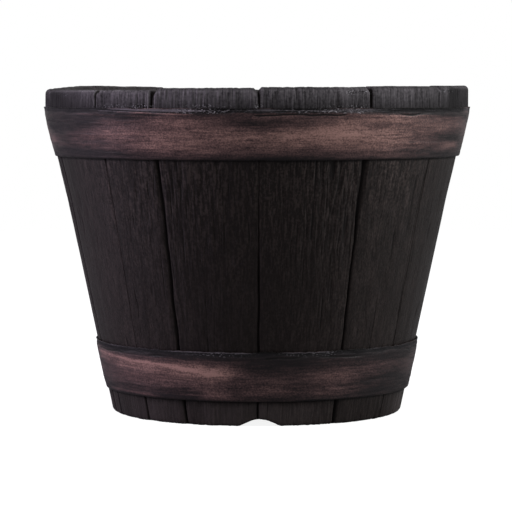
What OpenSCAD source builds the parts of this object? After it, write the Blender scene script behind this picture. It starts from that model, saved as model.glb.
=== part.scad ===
// Barrel planter: a coopered tub of tapered staves, two riveted hoops and a boarded head.
// The origin is on the ground under the tub's axis, +Z is up and the front faces -Y.
// An azimuth is measured from the front towards +X, in degrees.

/* [Staves] */
// Height of the staves above the ground
stave_height = 297; // [260:1:340]
// Thickness of a stave, measured level
stave_thickness = 16; // [12:0.5:20]
// Radius of the outside at the ground
foot_radius = 132.5; // [120:0.5:145]
// Lean of the lower wall from upright, in degrees
lean = 12; // [8:0.5:15]
// Height at which the wall starts to flare
flare_height = 195; // [150:1:210]
// Lean of the flared wall from upright, in degrees
flare_lean = 13.2; // [8:0.1:18]
// Height of the upright rim above the flare
rim_height = 18; // [10:1:30]
// Radius of the rounding along the rim
rim_round = 4; // [2:0.5:6]
// Radius of the rounding round the foot
foot_round = 3; // [1.5:0.5:5]
// Bevel inside the foot
chime_bevel = 4; // [2:0.5:6]

/* [Stave joints] */
// Gap between neighbouring staves at the foot
joint_gap = 0.2; // [0.1:0.05:0.4]
// Width of the worn groove along each joint
groove_width = 3.6; // [2:0.2:6]
// Depth of the worn groove along each joint
groove_depth = 2.4; // [1:0.2:4]
// Width of the nick at the top of each joint
nick_width = 6; // [3:0.5:10]
// Depth of the nick at the top of each joint
nick_depth = 2.6; // [1:0.2:4]

/* [Head] */
// Height of the head's underside above the ground
head_height = 24; // [18:1:32]
// Thickness of the head boards
head_thickness = 14; // [12:0.5:18]
// Depth of the groove that holds the head
croze_depth = 5; // [3:0.5:7]
// Thickness of the head's rim inside that groove
tongue_thickness = 8; // [6:0.5:10]
// Play round the head's rim in its groove
head_play = 0.25; // [0.1:0.05:0.4]
// Gap between neighbouring head boards
board_gap = 0.2; // [0.1:0.05:0.4]
// Diameter of the dowels between the boards
dowel_diameter = 8; // [6:0.5:9]
// Length of a dowel
dowel_length = 30; // [20:1:34]
// Distance of the dowels from the middle
dowel_offset = 70; // [64:1:76]
// Running clearance round a dowel
dowel_clearance = 0.05; // [0.02:0.01:0.1]

/* [Drainage] */
// Diameter of the drain holes
drain_diameter = 12; // [8:0.5:16]
// Width of a drain notch at the ground
notch_width = 36; // [28:1:44]
// Height of a drain notch
notch_height = 6; // [4.5:0.5:7]
// Slope of a drain notch's flanks, in degrees
notch_slope = 24; // [22:1:32]

/* [Hoops] */
// Height of a hoop from its lower to its upper edge
hoop_width = 44.5; // [35:0.5:55]
// Thickness of the hoop iron
hoop_thickness = 2; // [1.5:0.1:3]
// Height of the lower hoop's upper edge above the ground
lower_hoop_top = 67; // [60:1:100]
// Gap between a hoop and the staves
hoop_gap = 0.15; // [0.1:0.05:0.3]
// Chamfer along the hoops' outer edges
hoop_chamfer = 0.8; // [0.3:0.1:1.2]
// Length of the overlap where a hoop is riveted
lap_length = 52; // [44:1:60]
// Azimuth of the upper hoop's overlap
upper_lap_azimuth = 140; // [120:1:150]
// Azimuth of the lower hoop's overlap
lower_lap_azimuth = 215; // [205:1:235]

/* [Rivets] */
// Diameter of a rivet's shank
rivet_diameter = 5; // [4:0.5:6]
// Diameter of a rivet's domed head
rivet_head_diameter = 10; // [8:0.5:12]
// Height of a rivet's domed head
rivet_head_height = 2.6; // [1.5:0.1:3.5]
// Distance between the two rivets of a hoop
rivet_spacing = 24; // [18:1:30]
// Clearance round a rivet's shank
rivet_clearance = 0.05; // [0.02:0.01:0.1]

/* [Hidden] */
// How wide each stave is beside the others, from the front joint towards +X
stave_shares = [30.0, 25.7, 31.4, 33.0, 30.2, 22.4, 35.2, 32.2, 22.6, 21.6, 28.5, 18.7, 28.5];
// How far each stave's top stands above the nominal height
stave_tops = [0.1, 0.8, 1.2, 0.6, 0, -1.2, -2.7, 0.4, 0, -1.8, -2.3, -2.2, -0.7];
// How far each stave's face lies behind the nominal wall
stave_setbacks = [0.1, 0, 0.4, 0.2, 0.4, 0, 0.3, 0, 0.4, 0, 0.1, 0.4, 0];
// How far the nick above each joint lies beside it, as a share of half its width
nick_sides = [-0.6, -0.5, 0.3, 0.2, -0.4, 0.4, -0.2, 0.3, -0.3, 0.2, -0.3, 0.6, 0.6];
// The joints that have a drain notch below them
notched_joints = [0, 4, 8];
// How far a drain notch lies beside its joint, in degrees
notch_turn = 0.6;
// Azimuth of the front joint
front_joint = 0.5;
board_count = 5;
rounding_steps = 5;
notch_steps = 8;
// Overlap of a cutting body with the faces that it passes through
through = 2;
// Angle over which a hoop's outer end climbs onto its inner end, the angle by which that
// climb bites into both, the angle that it leaves free and how far its faces are drawn in
joggle_angle = 3;
joggle_bite = 0.15;
joggle_relief = 0.6;
joggle_inset = 0.15;
// Gap between the two layers of a hoop's overlap
lap_gap = 0.05;
$fn = 96;

stave_count = len(stave_shares);
function total(list, last) = last < 0 ? 0 : list[last] + total(list, last - 1);
function joint_azimuth(i) =
    front_joint + 360 * total(stave_shares, i - 1) / total(stave_shares, stave_count - 1);

rim_start = stave_height - rim_height;
function wall_radius(z) =
    foot_radius + tan(lean) * min(z, flare_height)
    + tan(flare_lean) * max(0, min(z, rim_start) - flare_height);
function inner_radius(z) = wall_radius(z) - stave_thickness;
joint_gap_angle = joint_gap / foot_radius * 180 / PI;

head_top = head_height + head_thickness;
tongue_bottom = head_height + (head_thickness - tongue_thickness) / 2;
tongue_top = tongue_bottom + tongue_thickness;
croze_radius = inner_radius((tongue_bottom + tongue_top) / 2) + croze_depth;
head_radius = croze_radius - head_play;
board_pitch = 2 * head_radius / board_count;
shoulder_gap = 0.5;

upper_hoop_top = rim_start;
upper_hoop_bottom = upper_hoop_top - hoop_width;
lower_hoop_bottom = lower_hoop_top - hoop_width;
layer_step = hoop_thickness + lap_gap;

function stave_name(i) = str("stave_", i < 10 ? "0" : "", i);
function board_name(i) = str("head_board_", i);

// Turns its children from the +X direction to an azimuth
module at_azimuth(azimuth) {
    rotate([0, 0, azimuth - 90]) children();
}

// The cross-section of a stave, from the foot up the outside and down the inside
module stave_section(top, setback) {
    height = stave_height + top;
    step = 90 / rounding_steps;
    polygon(concat(
        [for (a = [0:step:90])
            let (z = foot_round * (1 - cos(a)))
            [wall_radius(z) - setback - foot_round * (1 - sin(a)), z]],
        [[wall_radius(flare_height) - setback, flare_height],
         [wall_radius(rim_start) - setback, rim_start]],
        [for (a = [0:step:90])
            [wall_radius(height) - setback - rim_round * (1 - cos(a)),
             height - rim_round * (1 - sin(a))]],
        [for (a = [90:-step:0])
            [inner_radius(height) + rim_round * (1 - cos(a)),
             height - rim_round * (1 - sin(a))]],
        [[inner_radius(rim_start), rim_start],
         [inner_radius(flare_height), flare_height],
         [inner_radius(tongue_top + head_play), tongue_top + head_play],
         [croze_radius, tongue_top + head_play],
         [croze_radius, tongue_bottom - head_play],
         [inner_radius(tongue_bottom - head_play), tongue_bottom - head_play],
         [inner_radius(chime_bevel), chime_bevel],
         [inner_radius(0) + chime_bevel, 0]]
    ));
}

// A bar of diamond section between two points of the wall, given as [radius, height]
module diamond_bar(from, to, depth, width) {
    rise = to - from;
    translate([from[0], 0, from[1]])
        rotate([0, atan2(rise[0], rise[1]), 0])
        translate([0, 0, -through])
        linear_extrude(norm(rise) + 2 * through)
        polygon([[depth, 0], [0, width / 2], [-depth, 0], [0, -width / 2]]);
}

// The worn groove along joint i
module joint_groove(i) {
    knees = [for (z = [0, flare_height, rim_start, stave_height]) [wall_radius(z), z]];
    at_azimuth(joint_azimuth(i))
        for (k = [0:len(knees) - 2])
            diamond_bar(knees[k], knees[k + 1], groove_depth, groove_width);
}

// The nick above joint i: a V that starts below the lower of the two stave tops beside it
module rim_nick(i) {
    tops = [for (s = [i + stave_count - 1, i]) stave_height + stave_tops[s % stave_count]];
    rise = max(tops) - min(tops) + through;
    half = nick_width / 2;
    spread = half * (1 + rise / nick_depth);
    at_azimuth(joint_azimuth(i))
        translate([inner_radius(stave_height) - through, nick_sides[i % stave_count] * half, min(tops)])
        rotate([90, 0, 90])
        linear_extrude(stave_thickness + 2 * through)
        polygon([[0, -nick_depth], [spread, rise], [-spread, rise]]);
}

// A low arch with straight flanks and a round crown, cut through the foot
module drain_notch(azimuth) {
    half = notch_width / 2;
    crown_radius = (half * tan(notch_slope) - notch_height) / (1 / cos(notch_slope) - 1);
    crown_centre = notch_height - crown_radius;
    at_azimuth(azimuth)
        translate([inner_radius(0) - through, 0, 0])
        rotate([90, 0, 90])
        linear_extrude(stave_thickness + tan(lean) * notch_height + 2 * through)
        polygon(concat(
            [[half, 0], [half, -through], [-half, -through], [-half, 0]],
            [for (k = [0:notch_steps])
                let (a = notch_slope * (2 * k / notch_steps - 1))
                crown_radius * [sin(a), cos(a)] + [0, crown_centre]]
        ));
}

module stave(i) {
    start = joint_azimuth(i) + joint_gap_angle / 2;
    span = joint_azimuth(i + 1) - joint_azimuth(i) - joint_gap_angle;
    color([0.10, 0.08, 0.075])
        difference() {
            at_azimuth(start)
                rotate_extrude(angle = span)
                stave_section(stave_tops[i], stave_setbacks[i]);
            for (j = [i, i + 1]) {
                joint_groove(j);
                rim_nick(j);
            }
            for (j = notched_joints)
                if (j == i || j == (i + 1) % stave_count)
                    drain_notch(joint_azimuth(j) + notch_turn);
        }
}

// The whole head as one disc, thinned at its rim to fit the groove in the staves
module head_disc() {
    rotate_extrude()
        polygon([
            [0, head_height],
            [inner_radius(head_height) - shoulder_gap, head_height],
            [inner_radius(tongue_bottom) - shoulder_gap, tongue_bottom],
            [head_radius, tongue_bottom],
            [head_radius, tongue_top],
            [inner_radius(tongue_top) - shoulder_gap, tongue_top],
            [inner_radius(head_top) - shoulder_gap, head_top],
            [0, head_top]
        ]);
}

function joint_y(i) = (i - board_count / 2) * board_pitch;

// The dowels of the head, made longer by spare and thicker by clearance for their holes
module dowel_row(clearance, spare) {
    for (i = [1:board_count - 1], side = [-1, 1])
        translate([side * dowel_offset, joint_y(i), head_height + head_thickness / 2])
            rotate([90, 0, 0])
            cylinder(d = dowel_diameter + 2 * clearance, h = dowel_length + 2 * spare, center = true);
}

module drain_holes() {
    for (p = [[0, 0], [1, 0], [-1, 0], [0, 1], [0, -1]])
        translate([p[0] * board_pitch, p[1] * board_pitch, head_height - through])
            cylinder(d = drain_diameter, h = head_thickness + 2 * through);
}

module head_board(i) {
    color([0.16, 0.12, 0.10])
        difference() {
            intersection() {
                head_disc();
                translate([-head_radius - through, joint_y(i - 1) + board_gap / 2, 0])
                    cube([2 * (head_radius + through), board_pitch - board_gap, head_top + through]);
            }
            dowel_row(dowel_clearance, 1);
            drain_holes();
        }
}

module head_dowels() {
    color([0.62, 0.48, 0.32]) dowel_row(0, 0);
}

// The section of a hoop above its lower edge, with its outer edges chamfered.
// Layer 0 lies on the staves and layer 1 on top of it, and inset draws all of its faces in.
module hoop_section(bottom, layer, inset = 0) {
    low = bottom + inset;
    high = bottom + hoop_width - inset;
    slope = (wall_radius(high) - wall_radius(low)) / (high - low);
    level = sqrt(1 + slope * slope);
    inside = hoop_gap + (layer * layer_step + inset) * level;
    outside = hoop_gap + (layer * layer_step + hoop_thickness - inset) * level;
    c = hoop_chamfer;
    polygon([
        [wall_radius(low) + inside, low],
        [wall_radius(low) + outside - c, low],
        [wall_radius(low) + outside + slope * c, low + c],
        [wall_radius(high) + outside - slope * c, high - c],
        [wall_radius(high) + outside - c, high],
        [wall_radius(high) + inside, high]
    ]);
}

// The angle that an arc of a length takes at the middle of a hoop
function hoop_angle(bottom, length) =
    length / (wall_radius(bottom + hoop_width / 2) + hoop_thickness) * 180 / PI;

// A thin slice of a hoop's section, from an azimuth on, to form the joggle between
module joggle_end(bottom, layer, azimuth) {
    at_azimuth(azimuth)
        rotate_extrude(angle = joggle_bite, $fn = 32)
        hoop_section(bottom, layer, joggle_inset);
}

// One end of the iron lies on the staves, and the other climbs over it and is riveted down
module hoop_iron(bottom, lap_azimuth) {
    lap = hoop_angle(bottom, lap_length);
    start = lap_azimuth - lap / 2;
    at_azimuth(start + joggle_relief)
        rotate_extrude(angle = 360 - joggle_angle - joggle_relief)
        hoop_section(bottom, 0);
    at_azimuth(start)
        rotate_extrude(angle = lap)
        hoop_section(bottom, 1);
    hull() {
        joggle_end(bottom, 0, start - joggle_angle - joggle_bite);
        joggle_end(bottom, 1, start);
    }
}

// Puts its children at both rivets of a hoop, with +Z pointing out of the wall
module at_rivets(bottom, lap_azimuth) {
    middle = bottom + hoop_width / 2;
    slope = atan2(wall_radius(bottom + hoop_width) - wall_radius(bottom), hoop_width);
    turn = hoop_angle(bottom, rivet_spacing) / 2;
    for (side = [-1, 1])
        at_azimuth(lap_azimuth + side * turn)
            translate([wall_radius(middle) + hoop_gap, 0, middle])
            rotate([0, 90 + slope, 0])
            children();
}

module hoop(bottom, lap_azimuth) {
    color([0.36, 0.24, 0.21])
        difference() {
            hoop_iron(bottom, lap_azimuth);
            at_rivets(bottom, lap_azimuth)
                translate([0, 0, -through])
                cylinder(d = rivet_diameter + 2 * rivet_clearance, h = 2 * (through + layer_step));
        }
}

// A shank with a domed head, drawn along +Z from the inner face of the hoop
module rivet() {
    grip = hoop_thickness + layer_step + lap_gap;
    dome_radius = (pow(rivet_head_diameter / 2, 2) + pow(rivet_head_height, 2)) / (2 * rivet_head_height);
    cylinder(d = rivet_diameter, h = grip + rivet_head_height / 2);
    intersection() {
        translate([0, 0, grip + rivet_head_height - dome_radius]) sphere(r = dome_radius);
        translate([0, 0, grip]) cylinder(d = rivet_head_diameter + through, h = rivet_head_height + through);
    }
}

module hoop_rivets(bottom, lap_azimuth) {
    color([0.30, 0.21, 0.18]) at_rivets(bottom, lap_azimuth) rivet();
}

for (i = [1:stave_count])
    stave(i - 1);
for (i = [1:board_count])
    head_board(i);
head_dowels();
hoop(upper_hoop_bottom, upper_lap_azimuth);  // upper_hoop
hoop(lower_hoop_bottom, lower_lap_azimuth);  // lower_hoop
hoop_rivets(upper_hoop_bottom, upper_lap_azimuth);  // upper_hoop_rivets
hoop_rivets(lower_hoop_bottom, lower_lap_azimuth);  // lower_hoop_rivets
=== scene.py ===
import math
import bpy
import numpy as np
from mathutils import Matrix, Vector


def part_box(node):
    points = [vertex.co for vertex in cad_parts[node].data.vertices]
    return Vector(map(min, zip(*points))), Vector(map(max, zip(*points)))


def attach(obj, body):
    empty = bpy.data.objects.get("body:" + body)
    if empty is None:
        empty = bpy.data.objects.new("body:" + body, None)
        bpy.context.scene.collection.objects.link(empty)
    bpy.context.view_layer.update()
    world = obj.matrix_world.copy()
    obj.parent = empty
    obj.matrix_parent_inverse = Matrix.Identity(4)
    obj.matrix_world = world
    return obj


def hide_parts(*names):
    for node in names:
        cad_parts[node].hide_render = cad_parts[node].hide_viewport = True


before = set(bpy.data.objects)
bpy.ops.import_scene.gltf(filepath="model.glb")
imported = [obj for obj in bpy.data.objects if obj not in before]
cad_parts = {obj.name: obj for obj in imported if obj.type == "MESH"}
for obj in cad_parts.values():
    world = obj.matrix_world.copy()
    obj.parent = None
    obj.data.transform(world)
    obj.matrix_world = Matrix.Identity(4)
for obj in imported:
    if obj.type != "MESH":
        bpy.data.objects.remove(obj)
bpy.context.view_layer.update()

# Barrel planter: thirteen dark stained staves, two copper-rubbed hoops and a boarded head.
# Lengths are in millimetres until a mesh is made. An azimuth runs from the front (-Y) towards +X, in degrees.
mm = 0.001
rideBody = "root"


def addObject(name, data):
    # an object at the origin that holds the data
    obj = bpy.data.objects.new(name, data)
    bpy.context.collection.objects.link(obj)
    return obj


# Camera: the eye is level with the rim and looks a little down, on a long lens
camera = {
    "distance": 2449.0,
    "eyeHeight": 298.5,
    "sideStep": -0.9,
    "pitch": 3.67,  # in degrees
    "lens": 187.1,
    "sensor": 36.0,
    "nearest": 50.0,
    "farthest": 50000.0,
}


def makeCamera():
    # it stands at the distance in front of the origin and is turned up by 90 degrees less the pitch
    data = bpy.data.cameras.new("viewCamera")
    data.lens, data.sensor_width = camera["lens"], camera["sensor"]
    data.clip_start, data.clip_end = camera["nearest"] * mm, camera["farthest"] * mm
    obj = addObject("viewCamera", data)
    obj.location = (camera["sideStep"] * mm, -camera["distance"] * mm, camera["eyeHeight"] * mm)
    obj.rotation_euler = (math.radians(90 - camera["pitch"]), 0, 0)
    bpy.context.scene.camera = obj


makeCamera()
print("camera set")


# Numbers: steps, bells and noise
def smoothStep(low, high, x):
    # t = (x - low) / (high - low), held between 0 and 1, then t * t * (3 - 2t)
    t = np.clip((x - low) / (high - low), 0, 1)
    return t * t * (3 - 2 * t)


def bell(x, half):
    # exp(-(x / half) ^ 2)
    return np.exp(-(x / half) ** 2)


def latticeNoise(x, y, seed):
    # random values from -1 to 1 on a unit lattice, blended both ways with the weight f * f * (3 - 2f)
    size = 256
    table = np.random.default_rng(seed).uniform(-1, 1, (size, size))
    xi, yi = np.floor(x).astype(int), np.floor(y).astype(int)
    wx, wy = smoothStep(0, 1, x - xi), smoothStep(0, 1, y - yi)
    low = table[yi % size, xi % size] * (1 - wx) + table[yi % size, (xi + 1) % size] * wx
    high = table[(yi + 1) % size, xi % size] * (1 - wx) + table[(yi + 1) % size, (xi + 1) % size] * wx
    return low * (1 - wy) + high * wy


def noiseSum(kinds, x, y, seed, start=0):
    # start and the sum of strength * noise(x / first size, y / second size) over some kinds of noise, each
    # given by both sizes, its strength and a step of the seed
    return sum((strength * latticeNoise(x / sizeX, y / sizeY, seed + step)
                for sizeX, sizeY, strength, step in kinds), start)


def degreesPast(azimuth, place):
    # azimuth - place, brought between -180 and 180
    return (azimuth - place + 180) % 360 - 180


def around(azimuth, places):
    # the sum of strength * exp(-(da / half) ^ 2) over the places, held below 1
    return np.minimum(sum(s * bell(degreesPast(azimuth, a), half) for a, half, s in places), 1)


# Meshes
def gridMesh(name, points, across, along, fields):
    # a closed surface of columns of points, each of them a closed loop, with the first and last ones capped.
    # across is the distance of each column and along that of each row, with one more for the step that closes
    # the loop. Both are kept as a UV map, and fields are kept at the points.
    columns, rows = points.shape[:2]
    index = np.arange(columns * rows).reshape(columns, rows)
    nextRow = np.roll(index, -1, axis=1)
    quads = np.stack([index[:-1], index[1:], nextRow[1:], nextRow[:-1]], axis=-1).reshape(-1, 4)
    caps = [index[0].tolist(), index[-1][::-1].tolist()]
    mesh = bpy.data.meshes.new(name)
    mesh.from_pydata(points.reshape(-1, 3) * mm, [], quads.tolist() + caps)
    smooth = np.ones(len(quads) + len(caps), dtype=bool)
    smooth[-len(caps):] = False
    mesh.polygons.foreach_set("use_smooth", smooth)
    column, row = np.meshgrid(np.arange(columns - 1), np.arange(rows), indexing="ij")
    corners = [(column, row), (column + 1, row), (column + 1, row + 1), (column, row + 1)]
    quadUv = np.stack([np.stack([across[c], along[r]], -1) for c, r in corners], axis=2).reshape(-1, 2)
    capUv = np.stack([np.zeros(rows), along[:-1]], -1)
    allUv = np.concatenate([quadUv, capUv, capUv[::-1]]) * mm
    mesh.uv_layers.new(name="grain").data.foreach_set("uv", allUv.ravel())
    for field, values in fields.items():
        flat = np.ravel(np.broadcast_to(values, (columns, rows))).astype(np.float32)
        mesh.attributes.new(field, "FLOAT", "POINT").data.foreach_set("value", flat)
    mesh.validate()
    mesh.update()
    return addObject(name, mesh)


def loopNormals(r, z):
    # the direction of a closed loop at each point, turned a quarter clockwise, which points out of the solid
    dr, dz = np.roll(r, -1) - np.roll(r, 1), np.roll(z, -1) - np.roll(z, 1)
    length = np.hypot(dr, dz)
    return dz / length, -dr / length


def loopDistance(r, z):
    # the way along a closed loop to each point, and once more for the whole way round
    return np.concatenate([[0], np.cumsum(np.hypot(np.roll(r, -1) - r, np.roll(z, -1) - z))])


def turned(radius, azimuth, height):
    # a point at a radius and height, turned to its azimuth: x = r sin a, y = -r cos a
    a = np.radians(azimuth)
    return np.stack(np.broadcast_arrays(radius * np.sin(a), -radius * np.cos(a), height), axis=-1)


def finish(obj, node, material):
    # the piece takes its material, stands for its CAD node and rides on the tub
    obj.data.materials.append(material)
    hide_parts(node)
    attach(obj, rideBody)


# Shader writing
class Value:
    # a socket of a shader tree: sums, differences and products add Math nodes
    def __init__(self, shader, socket):
        self.shader, self.socket = shader, socket

    def math(self, operation, first, second):
        return self.shader.node("ShaderNodeMath", {"operation": operation}, [first, second])

    def __add__(self, other):
        return self.math("ADD", self, other)

    def __radd__(self, other):
        return self.math("ADD", other, self)

    def __sub__(self, other):
        return self.math("SUBTRACT", self, other)

    def __rsub__(self, other):
        return self.math("SUBTRACT", other, self)

    def __mul__(self, other):
        return self.math("MULTIPLY", self, other)

    def __rmul__(self, other):
        return self.math("MULTIPLY", other, self)


class Shader:
    # a node tree that is written as expressions and starts empty
    def __init__(self, tree):
        self.tree = tree
        self.tree.nodes.clear()

    def node(self, kind, settings, inputs, output=0):
        # one node: its type, its settings, which are set first, then the values or links of its sockets
        made = self.tree.nodes.new(kind)
        for key, value in settings.items():
            setattr(made, key, value)
        for key, value in inputs.items() if isinstance(inputs, dict) else enumerate(inputs):
            if isinstance(value, Value):
                self.tree.links.new(value.socket, made.inputs[key])
            else:
                made.inputs[key].default_value = value
        return Value(self, made.outputs[output] if made.outputs else None)

    def attribute(self, name):
        # a number kept at the mesh's points
        return self.node("ShaderNodeAttribute", {"attribute_name": name}, [], "Fac")

    def grainPlace(self):
        # across and along the grain from the UV map, with the piece's number as the third direction
        piece = self.node("ShaderNodeCombineXYZ", {}, {"Z": self.attribute("piece")})
        uv = self.node("ShaderNodeUVMap", {"uv_map": "grain"}, [])
        return self.node("ShaderNodeVectorMath", {"operation": "ADD"}, [uv, piece])

    def objectPlace(self):
        # the place in the object's own coordinates, in metres
        return self.node("ShaderNodeTexCoord", {}, [], "Object")

    def noise(self, place, scale, detail, offset=(0, 0, 0)):
        # noise of a place that is multiplied by one scale per direction and moved by an offset
        scaled = self.node("ShaderNodeVectorMath", {"operation": "MULTIPLY"}, [place, scale])
        moved = self.node("ShaderNodeVectorMath", {"operation": "ADD"}, [scaled, offset])
        return self.node("ShaderNodeTexNoise", {},
                         {"Vector": moved, "Scale": 1.0, "Detail": detail, "Roughness": 0.6})

    def step(self, value, low, high):
        # smoothStep of a value, falling where low is above high
        return self.node("ShaderNodeMapRange", {"interpolation_type": "SMOOTHSTEP"},
                         {"Value": value, "From Min": low, "From Max": high})

    def blend(self, factor, first, second):
        # first * (1 - factor) + second * factor: a Mix node's colours are its sockets 6 and 7 and output 2
        return self.node("ShaderNodeMix", {"data_type": "RGBA"}, {0: factor, 6: first, 7: second}, 2)

    def bump(self, height, distance):
        # the normal of a surface raised by height * distance, in metres
        return self.node("ShaderNodeBump", {}, {"Distance": distance, "Height": height}, "Normal")

    def surface(self, inputs):
        # the whole material as one Principled shader
        self.output("ShaderNodeOutputMaterial", self.node("ShaderNodeBsdfPrincipled", {}, inputs))

    def output(self, kind, shader):
        # the end of the tree
        self.node(kind, {}, {"Surface": shader})


def newMaterial(name):
    # a material and the writer of its tree
    material = bpy.data.materials.new(name)
    material.use_nodes = True
    return material, Shader(material.node_tree)


def rgb(r, g, b):
    # an sRGB colour of 0 to 255 as linear light: c / 12.92 below 0.04, ((c + 0.055) / 1.055) ^ 2.4 above
    c = np.array([r, g, b]) / 255.0
    linear = np.where(c <= 0.04045, c / 12.92, ((c + 0.055) / 1.055) ** 2.4)
    return (*linear.tolist(), 1.0)


def crumbled(tree, place, shades, colour, hollow):
    # the colour, blended to the deep one in hollows, which is painted shade, and in dark crumbs, and then to
    # specks in pale crumbs, which lie where the crumb field is high, and how dark each place is
    crumbs, crumb = tree.noise(place, *shades["crumbs"]), tree.attribute("crumb")
    dark = tree.step(hollow + crumb * tree.step(crumbs, 0.46, 0.38), *shades["hollowRange"])
    colour = tree.blend(dark, colour, shades["deep"])
    return tree.blend(crumb * tree.step(crumbs, 0.57, 0.66), colour, shades["speck"]), dark


# Staves: the tub's section and joints
tub = {
    "footRadius": 132.5,
    "lean": 12.0,
    "flareHeight": 195.0,
    "flareLean": 13.2,
    "rimStart": 279.0,
    "thickness": 16.0,
    "rimRound": 4.0,
    "footRound": 3.0,
    "chimeBevel": 4.0,
    "chimeRow": 16.0,  # a height between the croze and the chime
    "frontJoint": 0.5,
    "jointGap": 0.012,  # in degrees
    # each stave from the front joint towards +X: its share of the round and how far its face is set back
    "shares": [30.0, 25.7, 31.4, 33.0, 30.2, 22.4, 35.2, 32.2, 22.6, 21.6, 28.5, 18.7, 28.5],
    "setbacks": [0.1, 0, 0.4, 0.2, 0.4, 0, 0.3, 0, 0.4, 0, 0.1, 0.2, 0],
    "rimTilts": {7: (-0.7, 0.9), 8: (1.2, -1.4)},  # how far the ends of a stave's top stand above its middle
    "crozeLow": 26.75,
    "crozeHigh": 35.25,
    "crozeRadius": 128.1,
}
staveCount = len(tub["shares"])
jointAzimuths = (tub["frontJoint"]
                 + 360 * np.concatenate([[0], np.cumsum(tub["shares"])]) / sum(tub["shares"]))
hoopEdges = [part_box(node)[0][2] / mm for node in ("upper_hoop", "lower_hoop")]

staveMesh = {
    "lip": [0, 0.25, 0.5, 0.8, 1.1, 1.5, 1.9, 2.4, 3.0],  # columns beside a joint
    "lipGap": 0.6, "columnPitch": 0.62, "rowPitch": 2.0, "rimPitch": 0.8,
    "roundRows": 7, "topRows": 9, "innerRows": 56, "footRows": 5,
}
# how far the weather has worn each face
weathered = {"outside": 1, "top": 0.7, "innerArris": 0.4, "inside": 0.3}


def wallRadius(z):
    # r = foot + z tan(lean) up to the flare, then z tan(flare lean), upright from the rim's start
    low, high = tub["flareHeight"], tub["rimStart"]
    return (tub["footRadius"] + math.tan(math.radians(tub["lean"])) * np.minimum(z, low)
            + math.tan(math.radians(tub["flareLean"])) * np.clip(z - low, 0, high - low))


def innerRadius(z):
    # the wall's radius less its thickness
    return wallRadius(z) - tub["thickness"]


def staveTop(i):
    # the height of a stave, read from its CAD node
    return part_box("stave_%02d" % (i % staveCount + 1))[1][2] / mm


def staveSection(top, setback):
    # a closed loop up the outside, over the rim, down the inside with its croze and back under the foot, and
    # how much the weather has worn its points. A round edge is r (1 - cos), r (1 - sin) over a quarter turn.
    turn = np.radians(np.linspace(0, 90, staveMesh["roundRows"]))
    sides, ends = 1 - np.cos(turn), 1 - np.sin(turn)
    foot, rim, start = tub["footRound"], tub["rimRound"], tub["rimStart"]
    wallZ = np.arange(foot + 1.2, start - 1.5, staveMesh["rowPitch"])
    rimZ = np.arange(start - 1.0, top - rim - 0.3, staveMesh["rimPitch"])
    outerZ = np.concatenate([wallZ, rimZ])
    innerZ = np.linspace(top - rim - 2, tub["crozeHigh"] + 4, staveMesh["innerRows"])
    innerZ = np.concatenate([innerZ, [tub["crozeHigh"]]])
    chimeZ = np.array([tub["crozeLow"], tub["chimeRow"], tub["chimeBevel"]])
    topR = np.linspace(wallRadius(top) - rim, innerRadius(top) + rim, staveMesh["topRows"])[1:-1]
    footR = np.linspace(innerRadius(0) + tub["chimeBevel"], wallRadius(0) - foot, staveMesh["footRows"])[:-1]
    pieces = [
        (wallRadius(foot * sides) - setback - foot * ends, foot * sides, weathered["outside"]),
        (wallRadius(outerZ) - setback, outerZ, weathered["outside"]),
        (wallRadius(top) - setback - rim * sides, top - rim * ends, weathered["outside"]),
        (topR, np.full(len(topR), top), weathered["top"]),
        (innerRadius(top) + rim * sides[::-1], top - rim * ends[::-1], weathered["innerArris"]),
        (innerRadius(innerZ), innerZ, weathered["inside"]),
        (np.full(2, tub["crozeRadius"]), np.array([tub["crozeHigh"], tub["crozeLow"]]), 0),
        (innerRadius(chimeZ), chimeZ, 0),
        (footR, np.zeros(len(footR)), 0),
    ]
    r, z, weather = [np.concatenate([np.broadcast_to(piece[k], len(piece[0])) for piece in pieces])
                     for k in range(3)]
    crozeDown = 1 + 2 + len(chimeZ) + len(footR)
    weather[-crozeDown:] = 0  # nothing is worn from the croze's upper corner down
    return r, z, weather


def staveColumns(width):
    # places across a stave, close together at both joints and one pitch apart between them
    lip = np.array(staveMesh["lip"])
    reach = lip[-1] + staveMesh["lipGap"]
    middle = np.linspace(reach, width - reach, int((width - 2 * reach) / staveMesh["columnPitch"]))
    return np.concatenate([lip, middle, width - lip[::-1]])


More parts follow.
